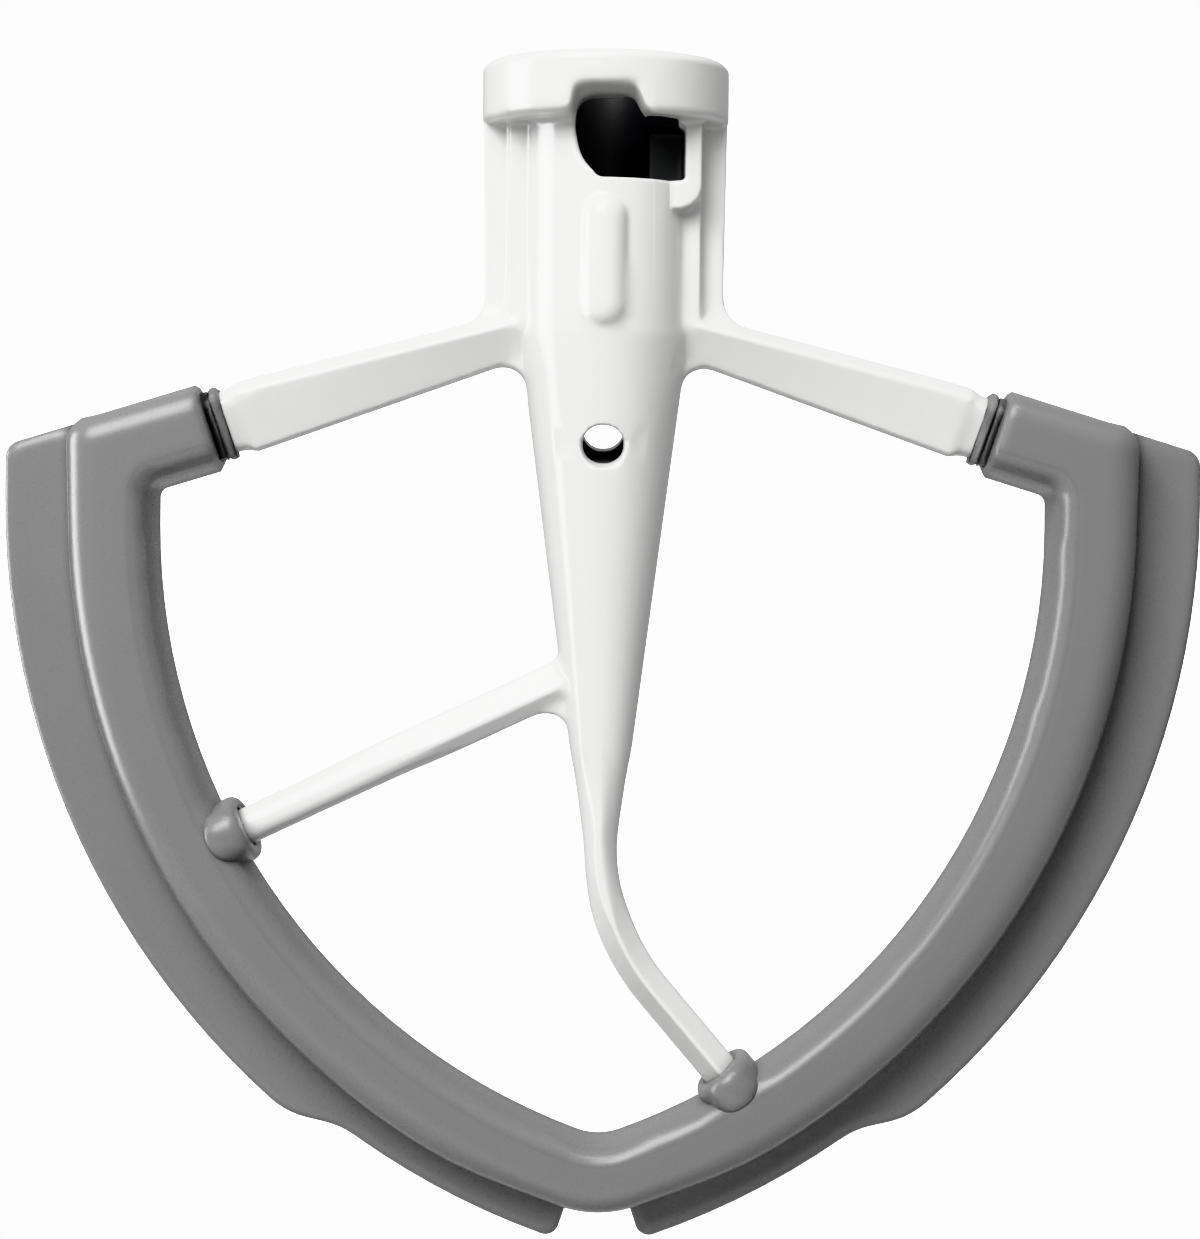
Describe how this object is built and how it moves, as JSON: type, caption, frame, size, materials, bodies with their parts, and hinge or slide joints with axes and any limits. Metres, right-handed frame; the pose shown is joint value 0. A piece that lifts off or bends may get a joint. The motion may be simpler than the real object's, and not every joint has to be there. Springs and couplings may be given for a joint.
{
  "type": "stand mixer flat beater",
  "caption": "Flat beater for a tilt-head stand mixer: a white coated casting with a bayonet hub, arms, spoke and bent tail, and a grey flexible wiping edge moulded round its loop.",
  "frame": {"origin": "centre of the shaft bore's mouth, on the hub's top face", "axes": "+Z out of the bore, up the mixer's shaft; +X to the side that the tail bends to; -Y to the front, where the bayonet slot is"},
  "size_m": [0.1554, 0.032, 0.1521],
  "materials": {
    "coated_casting": "gloss",
    "edge_rubber": "satin"
  },
  "bodies": {
    "root": {"beater_casting": "coated_casting", "flex_edge": "edge_rubber"}
  },
  "joints": []
}
